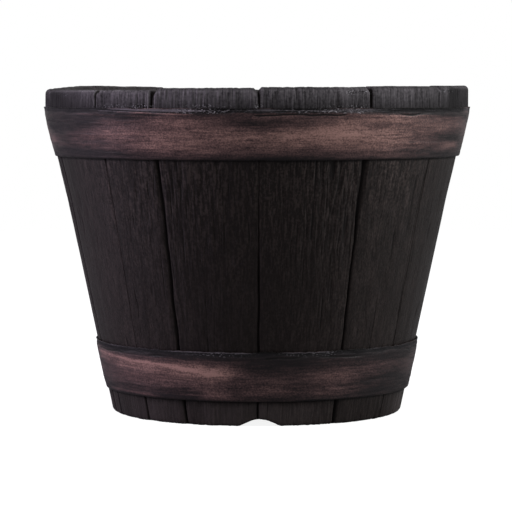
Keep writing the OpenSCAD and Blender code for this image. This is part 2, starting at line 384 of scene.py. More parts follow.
# Wood: the relief of the grain, knots and drying cracks
woodGrain = {
    # noises: size across and along the grain, strength, step of the seed
    "wander": [(21, 80, 1.8, 0), (7, 30, 0.5, 1)],
    "grain": [(2.1, 15, 0.55, 2), (1.4, 8, 0.35, 3), (4.2, 60, 0.40, 4)],  # crests, fibres and bands
    "waves": [(8, 120, 0.16, 5)],
    "broadWaves": [(27, 75, 0.22, 6)],
    "lines": [(2.5, 55, 1, 7)],
    "lineZones": [(10, 46, 1, 15)],
    "cracks": [(9, 900, 1, 8)],
    "crackZones": [(14, 36, 1, 9)],
    "ribs": [(1.0, 18, 1, 11), (2.3, 34, 0.6, 12)],
    "crumbs": [(1.1, 0.9, 1, 13)],
    "openWander": [(13, 1, 0.8, 14)],  # up a crack only
    "knots": 3,  # for each stave
    "knotAcross": (0.18, 0.82),  # as a share of the width
    "knotHeight": (55, 250),
    "knotSize": (2.5, 5.5),
    "knotStretch": 3.2,
    "knotPush": 1.5,
    "grainDepth": 0.30,
    "crackDepth": 0.5,
    "knotDepth": 0.4,
    # how clearly the grain shows on each stave, and by height
    "clearness": [1.45, 0.45, 0.4, 1.0, 0.8, 1.2, 0.9, 1.0, 0.7, 1.1, 0.45, 0.65, 1.2],
    "clearHeights": [45, 60, 130, 165, 215, 262],
    "clearLevels": [1.0, 0.4, 0.45, 0.95, 1.2, 1.5],
    # open drying cracks: azimuth, lowest and highest point
    "openCracks": [
        (-30, 207, 222), (-32, 199, 219), (-25.2, 186, 224), (-22.1, 212, 230), (-20.4, 185, 197),
        (-38.9, 174, 187), (-12.5, 162, 195), (-9.4, 162, 180), (-2.3, 159, 183), (-22.3, 144, 177),
        (6.9, 157, 204), (10, 145, 169), (14.4, 169, 204), (17.3, 218, 231), (24.7, 151, 197),
        (26.2, 177, 195), (23.3, 151, 165), (13.9, 122, 148), (23.7, 105, 130), (-30.6, 111, 156),
        (-43, 92, 119), (45.6, 143, 172), (71, 180, 205), (98, 120, 170), (112, 190, 226), (139, 150, 176),
        (163, 196, 229), (186, 108, 150), (199, 186, 222), (221, 140, 190), (252, 200, 226),
        (270, 118, 152), (291, 170, 198),
    ],
    "openHalf": 0.4,
}


def grainPlace(across, along, width, seed):
    # the grain's own coordinate: the place across, let wander along the stave and pushed aside by each knot,
    # dx * exp(-dx ^ 2 - dz ^ 2), and how near the place is to a knot
    random = np.random.default_rng(seed)
    place = noiseSum(woodGrain["wander"], across, along, seed, start=across)
    nearness = 0
    for knot in range(woodGrain["knots"]):
        knotAcross = random.uniform(*woodGrain["knotAcross"]) * width
        knotAlong = random.uniform(*woodGrain["knotHeight"])
        size = random.uniform(*woodGrain["knotSize"])
        dx, dz = (across - knotAcross) / size, (along - knotAlong) / (woodGrain["knotStretch"] * size)
        near = np.exp(-dx ** 2 - dz ** 2)
        place = place - woodGrain["knotPush"] * size * dx * near
        nearness = np.maximum(nearness, near)
    return place, nearness


def woodRelief(across, along, width, clear, seed):
    # crests and fibres stretched along the stave, thin grain lines where a slow noise passes through zero,
    # waves, and a few upright drying cracks, which are such lines too, but longer and deeper. clear scales
    # the grain.
    x, knot = grainPlace(across, along, width, seed)
    grain, waves, lineNoise, lineZones, crackNoise, crackZones = [
        noiseSum(woodGrain[kind], x, along, seed)
        for kind in ("grain", "waves", "lines", "lineZones", "cracks", "crackZones")]
    waves = waves + noiseSum(woodGrain["broadWaves"], across, along, seed)
    lines = (1 - smoothStep(0.04, 0.24, np.abs(lineNoise))) * smoothStep(-0.25, 0.45, lineZones)
    crack = (1 - smoothStep(0.02, 0.09, np.abs(crackNoise))) * smoothStep(0.4, 0.7, crackZones)
    relief = (woodGrain["grainDepth"] * clear * (grain - lines) + waves - woodGrain["crackDepth"] * crack
              - woodGrain["knotDepth"] * smoothStep(0.5, 1, knot))
    return relief, clear * np.clip(grain - 0.9 * lines, -1, 1), crack, knot


def openCracks(azimuth, r, z, seed):
    # thin lines, exp(-(d / half) ^ 2), that thin out at their lowest and highest points, where d is the way
    # past the crack's azimuth and a slow wander
    wander = noiseSum(woodGrain["openWander"], z, 0 * z, seed)
    cracks = 0
    for place, low, high in woodGrain["openCracks"]:
        distance = np.radians(degreesPast(azimuth, place)) * r + wander
        ends = smoothStep(low - 4, low + 5, z) * (1 - smoothStep(high - 5, high + 4, z))
        cracks = np.maximum(cracks, bell(distance, woodGrain["openHalf"]) * ends)
    return cracks


# Joints: a groove along each, a nick in the rim above it and notches in the foot
jointWear = {
    # one value for each joint, from the front one towards +X: the groove's half-width and depth and how much
    # wider it is under the upper hoop
    "half": [1.9, 1.6, 1.1, 1.9, 1.8, 1.6, 2.0, 1.7, 1.9, 1.6, 1.8, 1.2, 2.7],
    "depth": [1.7, 2.6, 0.8, 2.6, 2.8, 2.4, 2.8, 2.4, 2.8, 2.4, 2.6, 0.5, 2.7],
    "flare": [0.0, 3.3, 0.1, 0.4, 0.8, 0.0, 1.0, 0.3, 0.0, 0.6, 0.3, 0.6, 0.3],
    # how much wider and deeper it is at the rim and the foot
    "endFlare": [-0.3, 1.3, 0.3, 0.6, 0.8, 0.6, 0.6, 0.6, 0.8, 0.6, 0.6, 0.1, -0.5],
    "endDepth": [0.2, 0.2, 1.2, 0.2, 0.0, 0.2, 0.0, 0.2, 0.0, 0.2, 0.0, 1.4, -0.1],
    # how strong it stays on the lower and on the upper wall
    "lowerShare": [1.2, 0.95, 1, 1, 0.6, 1, 1, 0.7, 1, 1, 0.9, 0.1, 1],
    "upperShare": [0.42, 1, 0.8, 0.8, 1, 0.5, 1, 1, 0.8, 1, 1, 0.9, 1],
    "shareHeights": [35, 60, 130, 175, 250, 265],
    # how far the nick lies to the side, as a share of its half-width
    "nickSide": [-0.6, -0.5, 0.3, 0.2, -0.4, 0.4, -0.2, 0.3, -0.3, 0.2, -0.3, 0.6, 0.6],
    "nickHalf": 3.0,
    "nickDepth": 2.6,
    "power": 1.6,  # how hollow the groove's flanks are
    "shoulder": 0.35,
    "shoulderWidth": 6.0,
    "flareHeights": (150, 232),
    "footHeights": (25, 45),
    # noises up the joint only: size, 1, strength, step of the seed
    "wander": [(27, 1, 0.45, 900), (8, 1, 0.2, 920)],
    "breadth": [(14, 1, 0.25, 940)],
    "inside": 0.3,  # the depth of a groove inside the tub as a share of that outside
    "edge": 0.6,  # the painted highlight on the lips of a groove: how much lighter they are
    "rimEdge": 0.3,  # the same painted highlight at the rim
}
notch = {"width": 36.0, "height": 6.0, "slope": 24.0, "joints": [0, 4, 8], "turn": 0.6, "fade": 26.0}


def jointShare(joint, z):
    # how strong a joint's wear is: in full at the foot and the rim, and else the joint's share on the lower
    # wall and the upper one, with straight passages between them
    low, high = jointWear["lowerShare"][joint % staveCount], jointWear["upperShare"][joint % staveCount]
    return np.interp(z, jointWear["shareHeights"], [1, low, low, high, high, 1])


def jointGroove(joint, offset, z, rimZone):
    # depth of a worn V with rounded lips, depth * (1 - d / half) ^ power within half, and of a soft shoulder,
    # where d is the way from a line that wanders beside the joint. offset is the way past the joint.
    k = joint % staveCount
    wander, breadth = [noiseSum(jointWear[kind], z, 0 * z, k) for kind in ("wander", "breadth")]
    ends = rimZone + 1 - smoothStep(*jointWear["footHeights"], z)
    half = (jointWear["half"][k] * (1 + breadth) + jointWear["endFlare"][k] * ends
            + jointWear["flare"][k] * smoothStep(*jointWear["flareHeights"], z) * (1 - rimZone))
    distance = np.abs(offset - wander)
    inside = np.clip(1 - distance / half, 0, 1)
    depth = jointWear["depth"][k] + jointWear["endDepth"][k] * ends
    shoulder = jointWear["shoulder"] * (1 - smoothStep(0.0, jointWear["shoulderWidth"], distance))
    return depth * inside ** jointWear["power"] + shoulder


def nickDip(joint, offset, top):
    # how far a V, as open as its half-width and depth say, cuts below the top at an offset past the joint
    low = min(staveTop(joint - 1), staveTop(joint))
    slope = jointWear["nickDepth"] / jointWear["nickHalf"]
    side = jointWear["nickSide"][joint % staveCount] * jointWear["nickHalf"]
    return np.maximum(top - (low - jointWear["nickDepth"] + slope * np.abs(offset - side)), 0)


def notchHeight(distance):
    # straight flanks of the given slope, (width / 2 - d) tan(slope), joined by an arc of the given height
    slope = math.radians(notch["slope"])
    crown = (notch["width"] / 2 * math.tan(slope) - notch["height"]) / (1 / math.cos(slope) - 1)
    flank = (notch["width"] / 2 - distance) * math.tan(slope)
    arc = notch["height"] - crown + np.sqrt(np.maximum(crown ** 2 - distance ** 2, 0))
    return np.maximum(np.where(distance < crown * math.sin(slope), arc, flank), 0)


def notchLift(azimuth, radius):
    # the height of the nearest notch at the way beside its joint, r sin(a), on that side of the tub
    lift = 0
    for joint in notch["joints"]:
        turn = np.radians(azimuth - jointAzimuths[joint] - notch["turn"])
        lift = np.maximum(lift, notchHeight(np.abs(radius * np.sin(turn))) * (np.cos(turn) > 0))
    return lift


# Wear: ribs and crumbs on the rim, and how light, dark or dusty each place is
staveWear = {
    "ribDepth": 0.34,
    "crumbDepth": 0.5,
    "inset": 0.1,  # how far the worn face lies behind the sawn one
    "proud": 0.35,  # the most that relief may stand above it
    "hoopShade": 0.9,  # painted shade: how dark the wall is painted just below a hoop, over the next height
    "hoopShadeHeight": 1.8,
    "cavityDepth": 2.4,  # the depth at which a hollow is darkest, as painted shade along with the joints' dark
    "dustHeight": 22.0,  # how high dust lies on the foot
    "dustFade": 6.0,
    # each place: azimuth, half-length in degrees, strength
    "dustPlaces": [(-74, 8, 0.2), (-44, 14, 0.4), (0, 24, 0.75), (72, 9, 0.5), (118, 24, 0.3), (188, 34, 0.5),
                   (246, 20, 0.3)],
    # where the rim is paler, above how much it is all round: partly bleached wood and partly painted light
    "rimPaleAndLit": 0.05,
    "rimPaleAndLitPlaces": [(0, 46, 0.66), (-67, 7, -0.2), (-45, 12, 0.16), (-30, 8, 0.12), (-6, 8, -0.14),
                     (42, 12, 0.26), (59.5, 1.2, 0.25), (65, 4, -0.22), (118, 24, 0.3), (188, 34, 0.6),
                     (246, 20, 0.35)],
    "topTone": 0.28,  # how pale the rim's top edge is
    # where crumbs cling to the foot of the rim
    "crumbPlaces": [(-40, 7, 0.3), (-31, 2.5, 1.0), (-13, 6, 0.3), (0.5, 1.2, 0.9), (20, 6, 0.2),
                    (27, 2.2, 0.6), (88, 9, 0.6), (121, 3, 1.0), (140, 10, 0.5), (173, 4, 0.9),
                    (196, 9, 0.6), (230, 12, 0.5), (262, 4, 1.0), (276, 6, 0.4)],
    # where pale ones lie under its top
    "fleckPlaces": [(-62, 3, 0.3), (24.5, 1.2, 1.0), (28, 2, 0.8), (60, 4, 0.4), (150, 5, 0.6),
                    (222, 6, 0.5)],
    # where a painted highlight lies along the rim's top edges
    "arrisHighlightPlaces": [(-46, 15, 0.7), (28, 6, 0.3), (104, 14, 0.3), (150, 20, 0.5), (222, 26, 0.5)],
    # where the wall's crests are lighter, above how much they are all round: partly wear, partly painted
    # sheen on the flanks and painted shade at the far sides
    "worn": 0.6,
    "wornPlaces": [(-47, 17, 0.8), (43, 17, 0.6), (104, 18, 0.3), (166, 30, 0.5), (236, 26, 0.4),
                   (-78, 11, -0.4), (78, 11, -0.4)],
    "wornHeights": [100, 170, 215, 272],
    "wornLevels": [0.54, 0.5, 0.75, 1.0],
    # painted shade of the upper hoop on the upper wall at the left, and lighter at 39 degrees
    "upperShadingPlaces": [(-70, 13, 0.8), (39, 9, -0.4)],
    "upperShadingHeights": (170, 220),
}


def rimDetail(azimuth, across, along, z, facing, top, seed):
    # ribs that fade out below the top, crumbs at the rim's foot, flecks under its top, and its tone, which is
    # partly painted light, rises to the top, is then that of the top edge and takes a painted highlight on
    # the arris. facing is 1 where the surface looks outward.
    start = tub["rimStart"]
    zone = smoothStep(start - 3, start + 1, z)
    face = zone * smoothStep(0.3, 0.9, facing)
    ribs, crumbs = [noiseSum(woodGrain[kind], across, along, seed) for kind in ("ribs", "crumbs")]
    ribs = np.clip(ribs, -1.2, 0.8) * face * (1 - 0.8 * smoothStep(top - 5, top - 2, z))
    crumbZone = face * (1 - smoothStep(start + 2.0, start + 4.5, z))
    cluster = around(azimuth, staveWear["crumbPlaces"])
    flecks = around(azimuth, staveWear["fleckPlaces"]) * face * bell(z - top + 4.5, 1.6)
    # the rim's paleness by azimuth: partly bleached wood, partly painted light
    rimPaleAndLit = staveWear["rimPaleAndLit"] + around(azimuth, staveWear["rimPaleAndLitPlaces"])
    tone = rimPaleAndLit * (0.3 + 0.7 * smoothStep(start, top - 2, z))
    tone = tone + (staveWear["topTone"] - tone) * smoothStep(top - 3.4, top - 1.2, z)
    # painted highlight along the arris of the rim's top
    tone = tone + around(azimuth, staveWear["arrisHighlightPlaces"]) * bell(z - top + 0.9, 0.9)
    ribRelief = staveWear["ribDepth"] * ribs
    crumbRelief = staveWear["crumbDepth"] * crumbs * crumbZone * cluster
    ribTone = np.clip(0.5 + 0.6 * ribs, 0, 1) * face
    return zone, ribRelief, crumbRelief, tone, ribTone, crumbZone * cluster + flecks


def wallTone(azimuth, z, weather):
    # how light the wall's crests are, partly by wear and partly as painted sheen and shade, which changes by
    # azimuth and by height, and the dust on its foot
    worn = staveWear["worn"] + around(azimuth, staveWear["wornPlaces"]) * smoothStep(20, 60, z)
    # painted shade below the upper hoop at the left, lighter at 39 degrees
    upperShading = around(azimuth, staveWear["upperShadingPlaces"]) * smoothStep(*staveWear["upperShadingHeights"], z)
    levels = np.interp(z, staveWear["wornHeights"], staveWear["wornLevels"])
    dustTop = staveWear["dustHeight"]
    dust = (1 - smoothStep(dustTop - staveWear["dustFade"], dustTop, z)) * weather
    return worn * weather * levels * (1 - upperShading), dust * around(azimuth, staveWear["dustPlaces"])


def makeStave(i, material):
    # the section, carried round from joint to joint and moved along its normal by the relief less the
    # grooves. The top then takes its tilt and loses its nicks, and the foot is lifted into its notches.
    top = staveTop(i)
    r, z, weather = staveSection(top, tub["setbacks"][i])
    nr, nz = loopNormals(r, z)
    loop = loopDistance(r, z)
    along = loop[None, :-1]
    start, end = jointAzimuths[i] + tub["jointGap"] / 2, jointAzimuths[i + 1] - tub["jointGap"] / 2
    rimRadius = wallRadius(top)
    width = math.radians(end - start) * rimRadius
    across = staveColumns(width)[:, None]
    azimuth = start + np.degrees(across / rimRadius)
    seed = 100 + 20 * i

    clear = woodGrain["clearness"][i] * np.interp(z, woodGrain["clearHeights"], woodGrain["clearLevels"])
    relief, grain, crack, knot = woodRelief(across, along, width, clear, seed)
    opened = openCracks(azimuth, r, z, seed) * (weather == weathered["outside"])
    relief, crack = relief - woodGrain["crackDepth"] * opened, np.maximum(crack, opened)
    rimZone, ribRelief, crumbRelief, rimTone, ribTone, crumbs = rimDetail(
        azimuth, across, along, z, nr, top, seed)
    relief = relief * weather + ribRelief + crumbRelief

    groove, dip, edge = 0, 0, 0
    outside = np.clip(weather - weathered["inside"], 0, 1) / (1 - weathered["inside"])
    outside = np.maximum(outside, jointWear["inside"] * (weather > 0))
    for joint, offset in ((i, across), (i + 1, across - width)):
        share = jointShare(joint, z) * outside
        groove = groove + jointGroove(joint, offset * r / rimRadius, z, rimZone) * share
        # painted highlight along the lips of each groove, which goes into the grain and the rim's tone
        edge = edge + bell(np.abs(offset) - jointWear["half"][joint % staveCount] - 0.3, 0.7) * share
        dip = np.maximum(dip, nickDip(joint, offset, top))
    outward = np.minimum(relief, staveWear["proud"]) - staveWear["inset"] * weather - groove
    radius, height = r + nr * outward, z + nz * outward
    tilt = np.interp(across, [0, width], tub["rimTilts"].get(i, (0, 0)))
    height = (height + tilt * smoothStep(tub["rimStart"], top - 1, z)
              - dip * smoothStep(top - 11, top - 0.5, height))
    height = np.maximum(height, 0) + notchLift(azimuth, radius) * (1 - smoothStep(0, notch["fade"], z))

    # how light the crests are, partly wear and partly painted sheen and shade, and the foot's dust
    wearAndShading, dust = wallTone(azimuth, z, weather)
    # painted shade that each hoop casts on the wall just below it
    hoopShade = sum(bell(z - hoopEdge, staveWear["hoopShadeHeight"]) * (z < hoopEdge) for hoopEdge in hoopEdges)
    # hollows darker by their depth: painted shade, along with the dark of the joints, plus the hoops' shade
    cavity = np.clip(-outward / staveWear["cavityDepth"] + staveWear["hoopShade"] * hoopShade * weather, 0, 1)
    fields = {
        "grain": grain + jointWear["edge"] * edge,
        "cavity": cavity,
        "crack": crack * (1 - 0.7 * rimZone),
        "wearAndShading": wearAndShading,
        "dust": dust,
        "clear": clear,
        "rimTone": rimTone + jointWear["rimEdge"] * edge,
        "rib": ribTone,
        "knot": smoothStep(0.35, 0.9, knot) * weather,
        "crumb": crumbs,
        "rimZone": rimZone * weather,
        "piece": 0.7 * i,
    }
    obj = gridMesh("stave%02d" % (i + 1), turned(radius, azimuth, height), across[:, 0], loop, fields)
    finish(obj, "stave_%02d" % (i + 1), material)


staveFinish = {
    "base": rgb(15, 9, 8),
    # light: the crests' colour, which also carries painted sheen
    "light": rgb(64, 55, 53),
    # deep: the dark of joints, cracks and crumbs, also used as painted shade in hollows
    "deep": rgb(7, 3, 3),
    "dust": rgb(84, 76, 76),
    # the rim's tones: its paleness is partly bleached wood and partly painted light
    "rimBase": rgb(18, 16, 18),
    "rimLight": rgb(96, 92, 96),
    "speck": rgb(170, 168, 174),
    "roughness": 0.5,
    "specular": 0.14,
    "bump": 0.0004,
    # noises: scales across, along and from stave to stave, detail, offset
    "fibres": ((440, 75, 1), 2, (0, 0, 0)),
    "grit": ((440, 400, 1), 1, (5, 2, 0)),
    "tone": ((30, 13, 1), 3, (1, 9, 0)),
    "dashes": ((1300, 130, 1), 2, (4, 4, 0)),
    "blotches": ((150, 55, 1), 2, (2, 6, 0)),
    "ribLines": ((800, 40, 1), 2, (7, 3, 0)),
    "crumbs": ((620, 820, 1), 2, (3, 5, 0)),
    # from where to where a crest turns light and a hollow turns dark with painted shade
    "crestRange": (-0.24, 0.62),
    "hollowRange": (0.15, 0.8),
}


def woodMaterial(name, shades):
    # stain that is darker in grooves, cracks and pores and under the hoops, partly as painted shade, and
    # lighter on worn crests, partly as painted sheen, greyed and ribbed at the rim, whose paleness is partly
    # painted light, with dark and light crumbs along the rim's foot.
    # A noise less 0.5 adds as much as it takes away.
    material, tree = newMaterial(name)
    uv = tree.grainPlace()
    fibres, grit, tone, dashNoise, blotches, ribLines = [
        tree.noise(uv, *shades[kind])
        for kind in ("fibres", "grit", "tone", "dashes", "blotches", "ribLines")]
    dashes = tree.step(dashNoise, 0.60, 0.72)
    grain, rimZone, clear = [tree.attribute(field) for field in ("grain", "rimZone", "clear")]
    crest = (grain * 0.7 + (fibres - 0.5) * clear * 1.8 + (blotches - 0.5) * 0.6
             + (grit - 0.5) * (0.5 + 0.8 * clear))
    # lighter crests: partly wear, partly painted sheen on the flanks and painted shade
    worn = tree.step(crest, *shades["crestRange"]) * tree.attribute("wearAndShading") * (0.1 + 1.6 * tone)
    body = tree.blend(worn, shades["base"], shades["light"])
    body = tree.blend(tree.attribute("dust") * (0.1 + 0.7 * tone), body, shades["dust"])
    ribbed = (1 + 2.4 * (ribLines - 0.5) + 1.8 * (grit - 0.5) + 0.8 * (tree.attribute("rib") - 0.5)
              + 2 * (tone - 0.5))
    rim = tree.blend(tree.attribute("rimTone") * ribbed, shades["rimBase"], shades["rimLight"])
    # hollows: painted shade in grooves, cracks and under the hoops, with the dark of pores and knots
    hollow = (tree.attribute("cavity") + tree.attribute("crack") * 0.5 + dashes * 0.2
              + tree.attribute("knot") * 0.2)
    colour, dark = crumbled(tree, uv, shades, tree.blend(rimZone, body, rim), hollow)
    tree.surface({
        "Base Color": colour,
        "Roughness": shades["roughness"] + 0.2 * (fibres - 0.5) + 0.2 * dark + 0.3 * rimZone,
        "Specular IOR Level": shades["specular"],
        "Normal": tree.bump(fibres - dashes * 0.7, shades["bump"]),
    })
    return material


staveWood = woodMaterial("darkStainedWood", staveFinish)
for staveIndex in range(staveCount):
    makeStave(staveIndex, staveWood)
print("staves made")


# Hoops: flat iron bent to a cone, rough at its upper edge, with copper rubbed along it, and with painted
# highlights and painted shade on its edges
hoop = {
    "thickness": 2.0,
    "gap": 0.15,
    "lapGap": 0.05,
    "lapLength": 52.0,
    "joggle": 3.0,  # in degrees, as is relief
    "relief": 0.6,
    "bevelHeight": 5.0,
    "bevelDepth": 0.7,
    "lipDepth": 0.5,
    "crown": 0.35,
    "inset": 0.15,
    "columnPitch": 1.15,
    "rowPitch": 0.72,
    "raggedEdge": 0.45,
    "lowerEdge": 0.3,
    # noises: size along the hoop and up it, strength, step of the seed
    "crumble": [(1.9, 1.3, 1, 1), (4.5, 1.8, 0.6, 2)],
    "drag": [(30, 0.9, 0.07, 3), (60, 2.6, 0.10, 4)],
    "dents": [(16, 9, 0.12, 5), (26, 16, 0.22, 6)],
    # those along it only have 1 as their second size
    "bevelLine": [(9, 1, 0.8, 0)],
    "ragged": [(7, 1, 1, 7), (1.8, 1, 0.8, 8)],
    "edgeWaves": [(16, 1, 1, 9)],
    "lipZones": [(28, 1, 1, 10)],
    "lipLine": [(11, 1, 0.9, 11)],
    # where crumbs lie on the upper edge: azimuth, half-length in degrees, strength
    "crumbPlaces": [(-14, 8, 0.9), (14.5, 7, 0.6), (21, 4, 0.5), (27, 3.0, 0.6), (88, 9, 0.8), (121, 6, 0.8),
                    (140, 10, 0.7), (173, 4, 0.9), (196, 9, 0.8), (230, 12, 0.7), (262, 6, 0.9),
                    (276, 6, 0.6)],
}
# The rubbed patches of each hoop: azimuth, level from the lower edge (0) to the upper one (1), half-length in
# degrees, half-height, strength. Its brush strokes: azimuth and level where one starts, the same where it
# ends, half-height, strength.
# The bright patches and strokes that run hard along the upper and lower edges are painted highlights, and the
# strong patches below zero on the left flank of the upper hoop are painted shade.
upperHoop = {
    "lapAzimuth": 140.0,
    "crumbs": 0.9,
    "seed": 2100,
    "patches": [
        (-76, 0.42, 10, 0.24, 0.36), (-54, 0.44, 10, 0.16, 0.26), (-38, 0.48, 15, 0.20, 0.56),
        (-24, 0.38, 14, 0.30, 0.66), (-40, 0.70, 8, 0.12, 0.32), (-6, 0.44, 12, 0.22, 0.70),
        (9, 0.46, 10, 0.22, 0.80), (21, 0.52, 12, 0.27, 1.05), (-20, 0.74, 15, 0.13, 0.66),
        (4, 0.84, 13, 0.10, 0.42), (-42, 0.26, 20, 0.14, 0.36), (-16, 0.18, 16, 0.12, 0.46),
        (36, 0.44, 12, 0.26, 0.86), (32, 0.22, 18, 0.14, 0.34), (38, 0.78, 15, 0.12, 0.68),
        (54, 0.64, 14, 0.18, 0.62), (24, 0.76, 4, 0.12, 0.45), (50, 0.42, 10, 0.16, 0.46),
        (68, 0.66, 10, 0.12, 0.42), (64, 0.24, 9, 0.09, 0.60), (4, 0.22, 16, 0.11, 0.48),
        (34, 0.10, 18, 0.08, 0.34), (50, 0.24, 8, 0.10, 0.36), (-15, 0.57, 9, 0.10, 0.62),
        (-25, 0.985, 12, 0.055, 1.00), (26, 0.97, 10, 0.05, 0.80), (76, 0.97, 6, 0.08, 0.70),
        (2, 0.98, 4, 0.05, 0.60), (-66, 0.86, 13, 0.18, -1.0), (-50, 0.92, 9, 0.06, -0.6),
        (-68, 0.60, 8, 0.12, -0.3), (56, 0.93, 17, 0.07, -0.3), (-55, 0.06, 20, 0.10, -0.3),
        (60, 0.40, 12, 0.06, -0.10), (16, 0.70, 5, 0.06, -0.2), (31, 0.68, 6, 0.06, -0.10),
        (-38, 0.84, 4, 0.05, -0.2), (0, 0.72, 9, 0.05, -0.1), (92, 0.50, 18, 0.24, 0.65),
        (120, 0.45, 14, 0.25, 0.55), (134, 0.95, 12, 0.10, 0.60), (196, 0.94, 16, 0.10, 0.60),
        (150, 0.52, 14, 0.24, 0.70), (178, 0.45, 17, 0.26, 0.80), (206, 0.55, 13, 0.22, 0.55),
        (230, 0.44, 16, 0.25, 0.75), (256, 0.54, 14, 0.22, 0.50), (272, 0.44, 10, 0.24, 0.45),
    ],
    "strokes": [
        (-60, 0.88, -18, 0.83, 0.012, 0.30), (-50, 0.95, -14, 0.88, 0.012, 0.90),
        (-46, 0.99, -10, 0.94, 0.012, 1.10), (20, 0.86, 56, 0.84, 0.014, 0.30),
        (50, 0.78, 74, 0.80, 0.012, 0.25), (2, 0.97, 24, 0.94, 0.010, 0.70),
    ],
}
lowerHoop = {
    "lapAzimuth": 215.0,
    "crumbs": 0.3,
    "seed": 2200,
    "patches": [
        (-70, 0.75, 12, 0.14, 0.60), (-47, 0.65, 17, 0.16, 0.78), (-25, 0.66, 12, 0.15, 0.76),
        (-14, 0.59, 9, 0.16, 0.82), (2, 0.34, 14, 0.24, 0.34), (-26, 0.52, 14, 0.16, 0.38),
        (4, 0.18, 14, 0.16, 0.30), (26, 0.20, 12, 0.16, 0.34), (-48, 0.42, 34, 0.22, 0.38),
        (-40, 0.30, 10, 0.09, 0.42), (-14, 0.14, 8, 0.12, 0.45), (-18, 0.34, 11, 0.15, 0.48),
        (28, 0.49, 12, 0.18, 0.50), (36, 0.22, 10, 0.08, 0.18), (46, 0.58, 14, 0.17, 0.34),
        (72, 0.52, 14, 0.22, 0.16), (-48, 0.93, 14, 0.06, -0.2), (52, 0.93, 12, 0.10, -0.2),
        (98, 0.50, 16, 0.25, 0.6), (124, 0.60, 14, 0.20, 0.7), (152, 0.42, 14, 0.24, 0.6),
        (182, 0.55, 15, 0.24, 0.8), (210, 0.45, 12, 0.25, 0.7), (236, 0.50, 14, 0.22, 0.5),
        (264, 0.60, 14, 0.20, 0.6),
    ],
    "strokes": [
        (-80, 0.80, -26, 0.69, 0.035, 0.45), (-40, 0.72, -8, 0.51, 0.030, 0.34),
        (-78, 0.86, -20, 0.80, 0.012, 0.22), (-32, 0.11, -8, 0.13, 0.020, 0.30),
        (-78, 0.60, -30, 0.56, 0.02, 0.15), (-84, 0.99, -30, 0.985, 0.014, 0.50),
        (-36, 0.985, 2, 0.985, 0.012, 1.10), (4, 0.985, 30, 0.985, 0.014, 1.10),
        (36, 0.985, 84, 0.99, 0.014, 0.60), (-74, 0.07, -36, 0.06, 0.030, 0.35),
    ],
}


def rubbedAndShadingField(azimuth, level, patches, strokes):
    # soft patches, strength * exp(-(da / length) ^ 2 - (dh / height) ^ 2), of which the strongest counts most
    # and those below zero are added up, and strokes that rise or fall from end to end by t * t * (3 - 2t) and
    # thin out at their ends
    field = 0
    for place, middle, halfLength, halfHeight, strength in patches:
        patch = strength * bell(degreesPast(azimuth, place), halfLength) * bell(level - middle, halfHeight)
        field = field + patch if strength < 0 else np.maximum(field, patch) + 0.4 * np.minimum(field, patch)
    for start, startLevel, end, endLevel, halfHeight, strength in strokes:
        turn, length = degreesPast(azimuth, start), end - start
        path = startLevel + (endLevel - startLevel) * smoothStep(0, length, turn)
        ends = smoothStep(0, 8, turn) * (1 - smoothStep(length - 8, length, turn))
        field = field + strength * ends * bell(level - path, halfHeight)
    return field


def hoopSection(width):
    # a loop of distance from the wall and height: in at the lower edge, up the face, in at the upper edge and
    # down the back, and which of its points lie on the face
    t = hoop["thickness"]
    corner = [0.35, t - 0.5, t - 0.15]
    faceH = np.arange(1.0, width - 0.9, hoop["rowPitch"])
    backH = np.array([1, 0.66, 0.33, 0]) * (width - 1) + 0.5
    offset = np.concatenate([corner, np.full(len(faceH), t), corner[::-1], np.zeros(len(backH))])
    h = np.concatenate([[0, 0, 0.4], faceH, [width - 0.4, width, width], backH])
    return offset, h, (offset > t - 0.2).astype(float)


